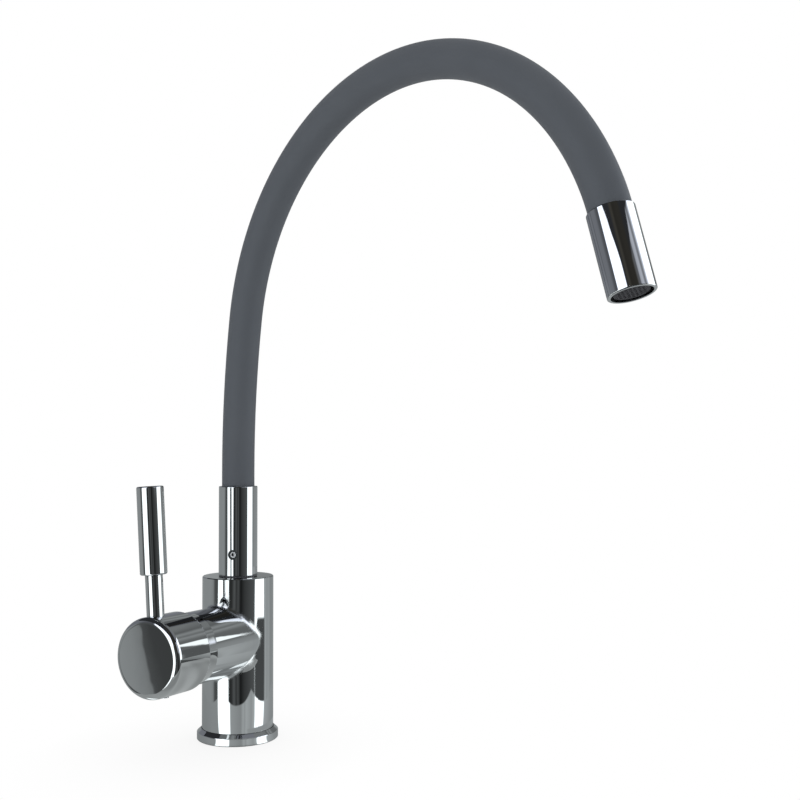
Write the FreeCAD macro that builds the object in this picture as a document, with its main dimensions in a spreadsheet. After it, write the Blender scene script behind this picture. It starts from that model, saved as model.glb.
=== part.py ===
import FreeCAD, Part
import os
import Sketcher
from math import cos, pi, radians, sin, sqrt
from FreeCAD import Placement, Rotation, Vector

# A single-lever kitchen mixer tap with a bendable gooseneck spout.
# Millimetres and degrees. Origin: centre of the underside, on the column's axis.
# +Z is up, +X is the way the spout reaches. The valve branch leaves the column
# sideways, BRANCH_ANGLE away from the spout, and ends in the handle.

# Driving sizes. Radii are half of the diameters that a maker would quote.
SIZES = {
    # clearances that every fit takes its value from
    "slip_gap": 0.3,
    "running_gap": 0.05,
    "thread_gap": 0.05,
    "slide_gap": 0.02,
    "edge_break": 0.5,
    # foot
    "flange_reach": 2.7,
    "flange_wall": 4.7,
    "flange_top": 6.9,
    "flange_crown_inset": 2.2,
    "flange_crown_drop": 0.3,
    "ledge_height": 3.0,
    "foot_step": 3.4,
    "gasket_land": 1.4,
    "gasket_rim": 2.1,
    "gasket_thickness": 1.6,
    # column and its waterways
    "column_radius": 22.0,
    "column_height": 100.0,
    "inlet_bore": 4.5,
    "inlet_depth": 14.0,
    "inlet_back": 8.0,
    "stud_bore": 3.4,
    "stud_depth": 16.0,
    "stud_back": 11.5,
    "outlet_bore": 4.0,
    # branch that carries the cartridge
    "branch_angle": 71.0,
    "branch_height": 61.5,
    "branch_length": 46.9,
    "branch_wall": 2.7,
    "chamber_depth": 27.4,
    "nut_step": 0.8,
    "nut_inset": 1.2,
    "nut_stand": 6.4,
    "nut_notch_width": 3.2,
    "nut_notch_depth": 3.2,
    "dome_length": 7.9,
    "dome_taper": 0.4,
    "dome_round": 0.6,
    # cartridge, a 35 mm one
    "cartridge_radius": 17.5,
    "cartridge_wall": 2.0,
    "cartridge_body": 21.5,
    "collar_length": 9.0,
    "collar_wall": 3.2,
    "base_plate_thickness": 3.2,
    "port_radius": 3.0,
    "port_spread": 6.5,
    "port_drop": 5.0,
    "port_rise": 6.5,
    "seal_width": 1.2,
    "seal_thickness": 1.5,
    "locator_radius": 1.5,
    "locator_spread": 11.5,
    "locator_length": 2.4,
    "disc_thickness": 3.6,
    "moving_disc_radius": 11.4,
    "disc_offset": 2.7,
    "mixing_radius": 5.2,
    "mixing_depth": 1.8,
    "carrier_thickness": 2.2,
    "rail_width": 14.0,
    "rail_length": 17.0,
    "rail_height": 1.6,
    "rotor_neck": 10.7,
    "rotor_slot": 17.1,
    "pivot_rise": 4.0,
    "pin_radius": 1.5,
    "spindle_side": 8.0,
    "spindle_stand": 25.0,
    "blade_width": 8.4,
    "blade_thickness": 6.0,
    "ball_reach": 11.7,
    "ball_radius": 2.6,
    "ball_neck": 1.7,
    "ball_neck_length": 3.3,
    # handle
    "handle_lean": 3.7,
    "cap_overhang": 1.8,
    "cap_wall": 3.0,
    "rim_wall": 1.4,
    "rim_depth": 5.5,
    "rim_gap": 0.4,
    "cap_length": 28.9,
    "cap_round": 3.4,
    "rim_round": 1.0,
    "cavity_depth": 13.5,
    "hub_radius": 9.5,
    "hub_inset": 8.8,
    "lever_inset": 9.5,
    "stem_radius": 5.0,
    "stem_sink": 1.4,
    "stem_screw": 3.0,
    "stem_screw_length": 7.0,
    "grip_bottom": 46.3,
    "grip_length": 50.4,
    "grip_radius": 7.75,
    "grip_screw_length": 10.0,
    "handle_screw_radius": 2.5,
    "handle_screw_key": 2.5,
    "handle_screw_point": 1.2,
    "handle_screw_point_length": 1.2,
    "handle_screw_inset": 14.1,
    "handle_screw_proud": 0.9,
    # spout foot
    "nipple_radius": 8.5,
    "nipple_bore": 4.5,
    "nipple_foot": 14.0,
    "nipple_stand": 30.0,
    "nipple_clearance": 1.0,
    "ring_section": 0.7,
    "ring_low": 6.0,
    "ring_high": 24.0,
    "screw_rise": 13.8,
    "screw_groove": 1.7,
    "screw_groove_depth": 1.6,
    "washer_inset": 0.4,
    "washer_thickness": 0.5,
    "sleeve_wall": 1.6,
    "sleeve_stand": 55.7,
    "sleeve_screw_azimuth": -50.0,
    "sleeve_screw_radius": 2.0,
    "sleeve_screw_key": 2.0,
    "sleeve_screw_recess": 3.0,
    "sleeve_screw_inset": 0.9,
    "ferrule_flange": 3.0,
    "ferrule_spigot": 12.0,
    # bendable spout
    "tube_radius": 3.3,
    "tube_wall": 1.0,
    "tube_gap": 0.5,
    "socket_bore": 6.4,
    "socket_wall": 1.0,
    "socket_rim": 1.1,
    "socket_length": 8.0,
    "link_step": 0.6,
    "ball_gap": 0.08,
    "neck_wall": 1.4,
    "neck_length": 6.0,
    "cover_gap": 0.4,
    "cover_wall": 2.3,
    "rise_above_sleeve": 10.0,
    "arc_a_radius": 570.0,
    "arc_b_radius": 145.0,
    "arc_c_radius": 152.0,
    "arc_d_radius": 148.0,
    "arc_e_radius": 142.0,
    "arc_f_radius": 106.0,
    "arc_a_angle": 9.5,
    "arc_b_angle": 37.1,
    "arc_c_angle": 37.1,
    "arc_d_angle": 35.9,
    "arc_e_angle": 37.5,
    "arc_f_angle": 6.2,
    # spray head, measured down its own axis
    "head_wall": 0.7,
    "head_length": 39.8,
    "head_shoulder": 14.5,
    "head_neck_bore": 7.6,
    "head_lip": 1.5,
    "aerator_depth": 16.7,
    "tip_start": 2.0,
    "tail_gap": 4.0,
    "tube_overlap": 3.5,
    "aerator_seal": 2.0,
    "aerator_wall": 1.3,
    "aerator_recess": 2.2,
    "insert_rib": 1.3,
    "face_thickness": 3.0,
    "face_recess": 0.7,
    "hole_pitch": 2.1,
    "hole_radius": 0.7,
}

doc = FreeCAD.newDocument("mixer_tap")
sheet = doc.addObject("Spreadsheet::Sheet", "Sizes")


class Size:
    """A size that carries its value and the sheet expression that it is bound to."""

    def __init__(self, value, words):
        self.value = value
        self.words = words

    def joined(self, other, sign, value):
        return Size(value, f"({self.words} {sign} {as_size(other).words})")

    def __add__(self, other):
        return self.joined(other, "+", self.value + as_size(other).value)

    def __sub__(self, other):
        return self.joined(other, "-", self.value - as_size(other).value)

    def __mul__(self, other):
        return self.joined(other, "*", self.value * as_size(other).value)

    def __truediv__(self, other):
        return self.joined(other, "/", self.value / as_size(other).value)

    def __neg__(self):
        return Size(-self.value, f"(0 - {self.words})")


def as_size(number):
    """Whole counts and zero join in as they are; everything else is a sheet size."""
    if isinstance(number, Size):
        return number
    return Size(number, str(number))


def fill_sheet():
    """Writes each driving size on its own row, name in column A and value in column B."""
    sizes = {}
    for row, (name, value) in enumerate(SIZES.items(), start=1):
        sheet.set(f"A{row}", name)
        sheet.set(f"B{row}", str(value))
        sheet.setAlias(f"B{row}", name)
        sizes[name] = Size(value, f"Sizes.{name}")
    doc.recompute()
    return sizes


class Named:
    """Sizes read by name, so that D.column_radius is the column's radius."""

    def __init__(self, sizes):
        self.__dict__.update(sizes)


D = Named(fill_sheet())
HERE = Placement()
PARTS = []

# Radii of the foot, which stands a little wider than the column that clamps it.
FLANGE_RADIUS = D.column_radius + D.slip_gap + D.flange_reach
FOOT_RADIUS = D.column_radius - D.foot_step

# Radii of the branch, outwards from the cartridge that it holds to the cap that hides it.
CHAMBER_BORE = D.cartridge_radius + D.slip_gap
NUT_BORE = CHAMBER_BORE + D.nut_step
NUT_COLLAR = NUT_BORE - D.nut_inset
BRANCH_RADIUS = NUT_BORE + D.branch_wall
CAP_RADIUS = BRANCH_RADIUS + D.cap_overhang
RIM_BORE = CAP_RADIUS - D.rim_wall
CAVITY_RADIUS = CAP_RADIUS - D.cap_wall
COLLAR_RADIUS = D.rotor_neck + D.slip_gap + D.collar_wall

# Depths along the branch, from the column's axis outwards.
SEAT = D.branch_length - D.chamber_depth
SHOULDER = SEAT + D.cartridge_body
CARTRIDGE_TOP = SHOULDER + D.collar_length
PIVOT = SHOULDER + D.pivot_rise
BALL = PIVOT - D.ball_reach
BLADE_END = BALL + D.ball_neck_length
SPINDLE_END = CARTRIDGE_TOP + D.spindle_stand
CAP_RIM = D.branch_length + D.dome_length + D.rim_gap
CAP_FACE = CAP_RIM + D.cap_length
RIM_STEP = CAP_RIM + D.rim_depth
CAVITY_FLOOR = CAP_RIM + D.cavity_depth
HUB_END = CAP_RIM + D.hub_inset
LEVER_DEPTH = CAP_FACE - D.lever_inset
HANDLE_SCREW_DEPTH = CAP_FACE - D.handle_screw_inset

# Heights up the lever, from the branch's axis.
STEM_SEAT = CAP_RADIUS - D.stem_sink
GRIP_TOP = D.grip_bottom + D.grip_length

# Radii of the spout, outwards from the water tube, through the arm, to the cover and what holds it.
TUBE_BORE = D.tube_radius - D.tube_wall
LINK_BORE = D.tube_radius + D.tube_gap
NECK_RADIUS = LINK_BORE + D.neck_wall
SOCKET_RADIUS = D.socket_bore + D.socket_wall
LINK_RADIUS = SOCKET_RADIUS - D.link_step
COVER_BORE = SOCKET_RADIUS + D.cover_gap
COVER_RADIUS = COVER_BORE + D.cover_wall
COVER_SEAT = COVER_RADIUS + D.slip_gap
SLEEVE_RADIUS = COVER_SEAT + D.sleeve_wall
WASHER_RADIUS = SLEEVE_RADIUS - D.washer_inset
HEAD_RADIUS = COVER_SEAT + D.head_wall
AERATOR_BORE = HEAD_RADIUS - D.head_lip

# Heights of the sleeve's shoulder and rim, and the aerator's seat down the head.
SLEEVE_SHOULDER = D.column_height + D.nipple_stand + D.nipple_clearance
SLEEVE_TOP = D.column_height + D.sleeve_stand
AERATOR_SEAT = D.head_length - D.aerator_depth


def bind(thing, **sizes):
    """Gives each property its value and its expression in the sheet."""
    for name, size in sizes.items():
        size = as_size(size)
        setattr(thing, name, size.value)
        thing.setExpression(name, size.words)


def placed(x=0, y=0, z=0, turn=None):
    return Placement(Vector(*(as_size(v).value for v in (x, y, z))), turn or Rotation())


def along(direction):
    """The turn that lays a primitive's own Z axis along a direction."""
    return Rotation(Vector(0, 0, 1), Vector(*direction))


def keep(thing, label, place=HERE):
    """Names a finished piece, puts it in place and lists it for writing."""
    thing.Label = label
    thing.Placement = place.multiply(thing.Placement)
    PARTS.append(thing)
    return thing


def cylinder(radius, height, place=HERE):
    rod = doc.addObject("Part::Cylinder", "rod")
    bind(rod, Radius=radius, Height=height)
    rod.Placement = place
    return rod


def box(length, width, height, place=HERE):
    """A block centred on its own Z axis, from its base up."""
    block = doc.addObject("Part::Box", "block")
    bind(block, Length=length, Width=width, Height=height)
    middle = placed(-as_size(length) / 2, -as_size(width) / 2)
    block.Placement = place.multiply(middle)
    return block


def sphere(radius, place=HERE):
    ball = doc.addObject("Part::Sphere", "ball")
    bind(ball, Radius=radius)
    ball.Placement = place
    return ball


def torus(ring, section, place=HERE, sweep=360):
    hoop = doc.addObject("Part::Torus", "hoop")
    bind(hoop, Radius1=ring, Radius2=section)
    hoop.Angle3 = sweep
    hoop.Placement = place
    return hoop


def joined(*shapes):
    if len(shapes) == 1:
        return shapes[0]
    whole = doc.addObject("Part::MultiFuse", "joined")
    whole.Shapes = list(shapes)
    return whole


def cut(base, *tools):
    rest = doc.addObject("Part::Cut", "cut")
    rest.Base = base
    rest.Tool = joined(*tools)
    return rest


def group(*solids):
    """Several like pieces that stay separate solids in one node."""
    together = doc.addObject("Part::Compound", "group")
    together.Links = list(solids)
    return together


def pin_corner(sketch, line, corner):
    """Ties the start of a line to its radius and height."""
    axes = (("DistanceX", corner[0], -2), ("DistanceY", corner[1], -1))
    for kind, size, axis in axes:
        if size.value == 0:
            sketch.addConstraint(Sketcher.Constraint("PointOnObject", line, 1, axis))
        else:
            tie = Sketcher.Constraint(kind, -1, 1, line, 1, size.value)
            index = sketch.addConstraint(tie)
            sketch.setExpression(f"Constraints[{index}]", size.words)


# An edge that lies this close to a corner of the outline runs through it.
SAME_PLACE = 1e-4


def circle_edges(shape, corner):
    """The names of the round edges that run through a corner of the outline."""
    names = []
    for number, edge in enumerate(shape.Edges, start=1):
        curve = edge.Curve
        if not hasattr(curve, "Radius") or not hasattr(curve, "Center"):
            continue
        same_radius = abs(curve.Radius - corner[0].value) < SAME_PLACE
        same_height = abs(curve.Center.z - corner[1].value) < SAME_PLACE
        if same_radius and same_height:
            names.append(f"Edge{number}")
    return names


def turned(name, outline, rounds=()):
    """A piece turned on its own Z axis from (radius, height) corners, then rounded at some of them."""
    body = doc.addObject("PartDesign::Body", name)
    sketch = body.newObject("Sketcher::SketchObject", name + "_outline")
    plane = next(f for f in body.Origin.OriginFeatures if f.Role == "XZ_Plane")
    sketch.AttachmentSupport = [(plane, "")]
    sketch.MapMode = "FlatFace"
    corners = [(as_size(r), as_size(z)) for r, z in outline]
    for start, end in zip(corners, corners[1:] + corners[:1]):
        a, b = (Vector(r.value, z.value, 0) for r, z in (start, end))
        sketch.addGeometry(Part.LineSegment(a, b))
    for line, corner in enumerate(corners):
        following = (line + 1) % len(corners)
        sketch.addConstraint(Sketcher.Constraint("Coincident", line, 2, following, 1))
        pin_corner(sketch, line, corner)
    turn = body.newObject("PartDesign::Revolution", name + "_turned")
    turn.Profile = sketch
    turn.ReferenceAxis = (sketch, ["V_Axis"])
    turn.Angle = 360
    sketch.Visibility = False
    doc.recompute()
    for corner, radius in rounds:
        sharp = body.Tip
        edges = circle_edges(sharp.Shape, [as_size(v) for v in corner])
        fillet = body.newObject("PartDesign::Fillet", name + "_round")
        fillet.Base = (sharp, edges)
        bind(fillet, Radius=radius)
        doc.recompute()
    return body


def ring(name, outer, inner, low, high):
    corners = [(inner, low), (outer, low), (outer, high), (inner, high)]
    return turned(name, corners)


def hex_socket(radius, depth, place):
    """A six-sided socket, sunk from the plane of its place down its own -Z."""
    prism = doc.addObject("Part::Prism", "socket")
    prism.Polygon = 6
    bind(prism, Circumradius=radius, Height=depth)
    prism.Placement = place.multiply(placed(0, 0, -as_size(depth)))
    return prism


def grub_screw(name, radius, length, key, point, point_length):
    """A headless screw: plain point at the bottom, hexagon socket at its top end."""
    chamfer = D.edge_break / 2
    blank = turned(name, [
        (0, 0), (point, 0), (point, point_length), (radius, point_length),
        (radius, length - chamfer), (radius - chamfer, length), (0, length)])
    corner_radius = Size(key.value / sqrt(3), f"({key.words} / sqrt(3))")
    return cut(blank, hex_socket(corner_radius, radius, placed(0, 0, length)))


# Frames that several pieces share.

# The branch: its own Z runs outward along it, its own Y points up.
BRANCH_HEADING = radians(-D.branch_angle.value)
BRANCH_AXIS = Vector(cos(BRANCH_HEADING), sin(BRANCH_HEADING), 0)
UP = Vector(0, 0, 1)
BRANCH = placed(0, 0, D.branch_height, Rotation(UP.cross(BRANCH_AXIS), UP, BRANCH_AXIS))
# The handle and all that turns with it stand a little off the vertical.
HANDLE = BRANCH.multiply(placed(turn=Rotation(UP, D.handle_lean.value)))
# Inside a branch frame these lay a primitive up, down or across.
TO_TOP = along((0, 1, 0))
TO_BOTTOM = along((0, -1, 0))
ACROSS = along((1, 0, 0))


# Foot: flange, gasket and the column that stands in them.

def foot():
    foot_hole = FOOT_RADIUS + D.slip_gap
    column_hole = D.column_radius + D.slip_gap
    groove_in = foot_hole + D.gasket_land
    groove_out = FLANGE_RADIUS - D.gasket_rim
    groove_top = D.gasket_thickness + D.running_gap
    flange = turned("flange_blank", [
        (foot_hole, 0), (groove_in, 0), (groove_in, groove_top),
        (groove_out, groove_top), (groove_out, 0), (FLANGE_RADIUS - D.edge_break, 0),
        (FLANGE_RADIUS, D.edge_break), (FLANGE_RADIUS, D.flange_wall),
        (FLANGE_RADIUS - D.flange_crown_inset, D.flange_top - D.flange_crown_drop),
        (column_hole, D.flange_top), (column_hole, D.ledge_height),
        (foot_hole, D.ledge_height),
    ], rounds=[((FLANGE_RADIUS, D.flange_wall), D.edge_break)])
    keep(flange, "base_flange")
    play = D.running_gap
    gasket = ring("gasket", groove_out - play, groove_in + play, 0, D.gasket_thickness)
    keep(gasket, "base_gasket")


def port_places():
    """Where the two inlets and the outlet meet the cartridge, in the branch frame."""
    inlets = [(-D.port_spread, -D.port_drop), (D.port_spread, -D.port_drop)]
    return inlets + [(as_size(0), D.port_rise)]


def column():
    """Casting of the column and branch, drilled for both inlets, the outlet and the stud."""
    top_edge = D.edge_break
    stem = turned("column_blank", [
        (0, 0), (FOOT_RADIUS, 0), (FOOT_RADIUS, D.ledge_height),
        (D.column_radius, D.ledge_height), (D.column_radius, D.column_height - top_edge),
        (D.column_radius - top_edge, D.column_height), (0, D.column_height),
    ])
    arm = cylinder(BRANCH_RADIUS, D.branch_length, BRANCH)
    seat = BRANCH.multiply(placed(0, 0, SEAT))
    nut_seat = BRANCH.multiply(placed(0, 0, SHOULDER))
    tools = [
        cylinder(CHAMBER_BORE, D.chamber_depth, seat),
        cylinder(NUT_BORE, D.branch_length - SHOULDER, nut_seat),
    ]
    side = BRANCH.Rotation.multVec(Vector(1, 0, 0))
    for x, y in port_places()[:2]:
        tools.append(cylinder(D.port_radius, SEAT - D.inlet_back,
                              BRANCH.multiply(placed(x, y, D.inlet_back))))
        spot = side * x.value + BRANCH_AXIS * D.inlet_back.value
        rise = D.branch_height + y
        tools.append(cylinder(D.inlet_bore, D.inlet_depth, Placement(spot, Rotation())))
        tools.append(cylinder(D.port_radius, rise, Placement(spot, Rotation())))
    outlet_x, outlet_y = port_places()[2]
    tools.append(cylinder(D.port_radius, SEAT,
                          BRANCH.multiply(placed(outlet_x, outlet_y, 0))))
    outlet_start = D.branch_height + outlet_y
    nipple_floor = D.column_height - D.nipple_foot
    tools.append(cylinder(D.outlet_bore, nipple_floor - outlet_start, placed(0, 0, outlet_start)))
    tapping = D.nipple_radius + D.thread_gap
    tools.append(cylinder(tapping, D.nipple_foot, placed(0, 0, nipple_floor)))
    stud_spot = BRANCH_AXIS * -D.stud_back.value
    tools.append(cylinder(D.stud_bore, D.stud_depth, Placement(stud_spot, Rotation())))
    for x in (-D.locator_spread, D.locator_spread):
        start = SEAT - D.locator_length
        tools.append(cylinder(D.locator_radius + D.slip_gap / 2, D.locator_length,
                              BRANCH.multiply(placed(x, D.port_drop, start))))
    keep(cut(joined(stem, arm), *tools), "column_body")


# Cartridge: everything inside the branch, all of it about the branch's axis.

BASE_TOP = SEAT + D.slip_gap + D.base_plate_thickness
FIXED_TOP = BASE_TOP + D.disc_thickness
MOVING_LOW = FIXED_TOP + D.slide_gap
MOVING_TOP = MOVING_LOW + D.disc_thickness
CARRIER_TOP = MOVING_TOP + D.carrier_thickness
CARTRIDGE_BORE = D.cartridge_radius - D.cartridge_wall
ROTOR_RADIUS = CARTRIDGE_BORE - D.slip_gap
ROTOR_LOW = CARRIER_TOP + D.slide_gap
CEILING = SHOULDER - D.cartridge_wall / 2
# Slots milled right across the nut, each of them two notches in its rim.
NUT_NOTCHES = 3


def ported(base, low, thickness, place):
    """Bores the three ports through a disc or plate."""
    tools = []
    for x, y in port_places():
        tools.append(cylinder(D.port_radius, thickness, placed(x, y, low)))
    return cut(base, *tools)


def cartridge_still():
    """The parts of the cartridge that stay with the branch."""
    low = SEAT + D.slip_gap
    plate = turned("plate_blank", [
        (0, low), (D.cartridge_radius, low), (D.cartridge_radius, BASE_TOP), (0, BASE_TOP)])
    locators = []
    for x in (-D.locator_spread, D.locator_spread):
        start = low - D.locator_length
        place = placed(x, D.port_drop, start)
        locators.append(cylinder(D.locator_radius, D.locator_length, place))
    pockets = []
    seals = []
    pocket_radius = D.port_radius + D.seal_width + D.running_gap
    for number, (x, y) in enumerate(port_places()):
        pockets.append(cylinder(pocket_radius, D.seal_thickness - D.slip_gap, placed(x, y, low)))
        name = f"seal_blank_{number}"
        outer = D.port_radius + D.seal_width
        seal = ring(name, outer, D.port_radius, 0, D.seal_thickness)
        seal.Placement = placed(x, y, SEAT)
        seals.append(seal)
    base = cut(joined(plate, *locators), *pockets)
    keep(ported(base, low, D.base_plate_thickness, HERE), "cartridge_base", BRANCH)
    keep(group(*seals), "port_seals", BRANCH)
    disc = turned("fixed_disc_blank", [
        (0, BASE_TOP), (ROTOR_RADIUS, BASE_TOP), (ROTOR_RADIUS, FIXED_TOP), (0, FIXED_TOP)])
    keep(ported(disc, BASE_TOP, D.disc_thickness, HERE), "fixed_disc", BRANCH)
    opening = D.rotor_neck + D.slip_gap
    shell = turned("cartridge_shell_blank", [
        (CARTRIDGE_BORE, BASE_TOP), (D.cartridge_radius, BASE_TOP),
        (D.cartridge_radius, SHOULDER), (COLLAR_RADIUS, SHOULDER),
        (COLLAR_RADIUS, CARTRIDGE_TOP), (opening, CARTRIDGE_TOP),
        (opening, CEILING), (CARTRIDGE_BORE, CEILING)])
    keep(shell, "cartridge_housing", BRANCH)


def branch_trim():
    """The nut that holds the cartridge in, and the dome ring that hides it."""
    thread = NUT_BORE - D.thread_gap
    bore = COLLAR_RADIUS + D.slip_gap
    top = D.branch_length + D.nut_stand
    nut = turned("nut_blank", [
        (bore, SHOULDER), (thread, SHOULDER), (thread, D.branch_length),
        (NUT_COLLAR, D.branch_length), (NUT_COLLAR, top), (bore, top)])
    notches = []
    start = top - D.nut_notch_depth
    across_nut = NUT_COLLAR * 2 + D.edge_break
    for number in range(NUT_NOTCHES):
        turn = Rotation(UP, 180 * number / NUT_NOTCHES)
        place = placed(0, 0, start, turn)
        notches.append(box(across_nut, D.nut_notch_width, D.nut_notch_depth, place))
    keep(cut(nut, *notches), "cartridge_nut", BRANCH)
    inner = NUT_COLLAR + D.slip_gap
    end = D.branch_length + D.dome_length
    waist = BRANCH_RADIUS - D.dome_taper
    dome = turned("dome_blank", [
        (inner, D.branch_length), (BRANCH_RADIUS, D.branch_length), (waist, end), (inner, end),
    ], rounds=[((waist, end), D.dome_round)])
    keep(dome, "dome_ring", BRANCH)


def moving_disc():
    """The upper ceramic disc with its mixing chamber, and the carrier that slides it."""
    middle = placed(0, -D.disc_offset, 0)
    disc = turned("moving_disc_blank", [
        (0, MOVING_LOW), (D.moving_disc_radius, MOVING_LOW),
        (D.moving_disc_radius, MOVING_TOP), (0, MOVING_TOP)])
    chamber = [cylinder(D.mixing_radius, D.mixing_depth, placed(0, 0, MOVING_LOW)),
               box(D.port_spread * 2, D.mixing_radius, D.mixing_depth,
                   placed(0, -D.mixing_radius / 2, MOVING_LOW))]
    keep(cut(disc, *chamber), "moving_disc", HANDLE.multiply(middle))
    plate = turned("carrier_blank", [
        (0, MOVING_TOP), (D.moving_disc_radius, MOVING_TOP),
        (D.moving_disc_radius, CARRIER_TOP), (0, CARRIER_TOP)])
    rail = box(D.rail_width, D.rail_length, D.rail_height, placed(0, 0, CARRIER_TOP))
    socket_side = D.ball_radius * 2 + D.slip_gap * 2
    drop = CARRIER_TOP + D.rail_height - MOVING_TOP
    socket = box(socket_side, socket_side + D.slip_gap * 2, drop,
                 placed(0, D.disc_offset, MOVING_TOP))
    keep(cut(joined(plate, rail), socket), "disc_carrier", HANDLE.multiply(middle))


def rotor():
    """The guide that turns in the housing and carries the lever's pin."""
    shoulder = CEILING - D.slip_gap
    blank = turned("rotor_blank", [
        (0, ROTOR_LOW), (ROTOR_RADIUS, ROTOR_LOW), (ROTOR_RADIUS, shoulder),
        (D.rotor_neck, shoulder), (D.rotor_neck, CARTRIDGE_TOP - D.edge_break),
        (0, CARTRIDGE_TOP - D.edge_break)])
    depth = CARTRIDGE_TOP - ROTOR_LOW
    slot_width = D.blade_width + D.slip_gap * 2
    slot = box(slot_width, D.rotor_slot, depth, placed(0, 0, ROTOR_LOW))
    guide_width = D.rail_width + D.slide_gap * 2
    guide_depth = D.rail_height + D.slip_gap
    guide = box(guide_width, ROTOR_RADIUS * 2, guide_depth, placed(0, 0, ROTOR_LOW))
    pin_hole = cylinder(D.pin_radius + D.slide_gap, ROTOR_RADIUS * 2,
                        placed(-ROTOR_RADIUS, 0, PIVOT, ACROSS))
    keep(cut(blank, slot, guide, pin_hole), "cartridge_rotor", HANDLE)
    pin_half = D.rotor_neck - D.edge_break
    pin = cylinder(D.pin_radius, pin_half * 2, placed(-pin_half, 0, PIVOT, ACROSS))
    keep(pin, "lever_pin", HANDLE)


def spindle():
    """The cartridge's lever: square outside, flat on the pin, ball-ended in the carrier."""
    square_low = CARTRIDGE_TOP - D.edge_break
    square_length = SPINDLE_END - square_low
    square = box(D.spindle_side, D.spindle_side, square_length, placed(0, 0, square_low))
    blade_length = square_low - BLADE_END
    blade = box(D.blade_width, D.blade_thickness, blade_length, placed(0, 0, BLADE_END))
    neck = cylinder(D.ball_neck, BLADE_END - BALL, placed(0, 0, BALL))
    ball = sphere(D.ball_radius, placed(0, 0, BALL))
    bore = cylinder(D.pin_radius + D.running_gap, D.blade_width,
                    placed(-D.blade_width / 2, 0, PIVOT, ACROSS))
    keep(cut(joined(square, blade, neck, ball), bore), "cartridge_spindle", HANDLE)


# Handle: cap, stem, grip and the screw that clamps the cap to the spindle.

def handle():
    cap = turned("cap_blank", [
        (0, HUB_END), (D.hub_radius, HUB_END), (D.hub_radius, CAVITY_FLOOR),
        (CAVITY_RADIUS, CAVITY_FLOOR), (CAVITY_RADIUS, RIM_STEP), (RIM_BORE, RIM_STEP),
        (RIM_BORE, CAP_RIM),
        (CAP_RADIUS, CAP_RIM), (CAP_RADIUS, CAP_FACE), (0, CAP_FACE),
    ], rounds=[((CAP_RADIUS, CAP_FACE), D.cap_round),
               ((CAP_RADIUS, CAP_RIM), D.rim_round)])
    side = D.spindle_side + D.running_gap * 2
    socket = box(side, side, SPINDLE_END + D.slip_gap - HUB_END, placed(0, 0, HUB_END))
    over = CAP_RADIUS - STEM_SEAT + D.edge_break
    stem_recess = cylinder(D.stem_radius + D.running_gap, over,
                           placed(0, STEM_SEAT, LEVER_DEPTH, TO_TOP))
    screw_floor = STEM_SEAT - D.stem_screw_length
    stem_hole = cylinder(D.stem_screw + D.thread_gap, D.stem_screw_length,
                         placed(0, screw_floor, LEVER_DEPTH, TO_TOP))
    screw_start = D.spindle_side / 2
    screw_hole = cylinder(D.handle_screw_radius + D.thread_gap, CAP_RADIUS - screw_start,
                          placed(0, -screw_start, HANDLE_SCREW_DEPTH, TO_BOTTOM))
    keep(cut(cap, socket, stem_recess, stem_hole, screw_hole), "handle_cap", HANDLE)

    lever = HANDLE.multiply(placed(0, 0, LEVER_DEPTH, TO_TOP))
    screw_top = D.grip_bottom + D.grip_screw_length
    stem_edge = D.edge_break / 2
    stem = turned("stem_blank", [
        (0, screw_floor + D.running_gap), (D.stem_screw, screw_floor + D.running_gap),
        (D.stem_screw, STEM_SEAT), (D.stem_radius, STEM_SEAT),
        (D.stem_radius, D.grip_bottom - stem_edge), (D.stem_radius - stem_edge, D.grip_bottom),
        (D.stem_screw, D.grip_bottom), (D.stem_screw, screw_top), (0, screw_top)])
    keep(stem, "lever_stem", lever)
    hole = D.stem_screw + D.thread_gap
    grip = turned("grip_blank", [
        (hole, D.grip_bottom), (D.grip_radius, D.grip_bottom), (D.grip_radius, GRIP_TOP),
        (0, GRIP_TOP), (0, screw_top + D.slip_gap), (hole, screw_top + D.slip_gap),
    ], rounds=[((D.grip_radius, D.grip_bottom), D.edge_break * 2),
               ((D.grip_radius, GRIP_TOP), D.edge_break * 2)])
    keep(grip, "lever_grip", lever)
    reach = D.spindle_side / 2 + D.running_gap
    length = CAP_RADIUS + D.handle_screw_proud - reach
    screw = grub_screw("handle_screw_blank", D.handle_screw_radius, length, D.handle_screw_key,
                       D.handle_screw_point, D.handle_screw_point_length)
    at_screw = placed(0, -reach, HANDLE_SCREW_DEPTH, TO_BOTTOM)
    keep(screw, "handle_grub_screw", HANDLE.multiply(at_screw))


# Spout foot: the nipple in the column, and the sleeve that swivels on it.

def grooved(radius, grooves):
    """Corners up the side of a turned pin, stepping in at each (height, half width, depth)."""
    corners = []
    for height, half, depth in grooves:
        low, high = height - half, height + half
        floor = radius - depth
        corners += [(radius, low), (floor, low), (floor, high), (radius, high)]
    return corners


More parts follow.
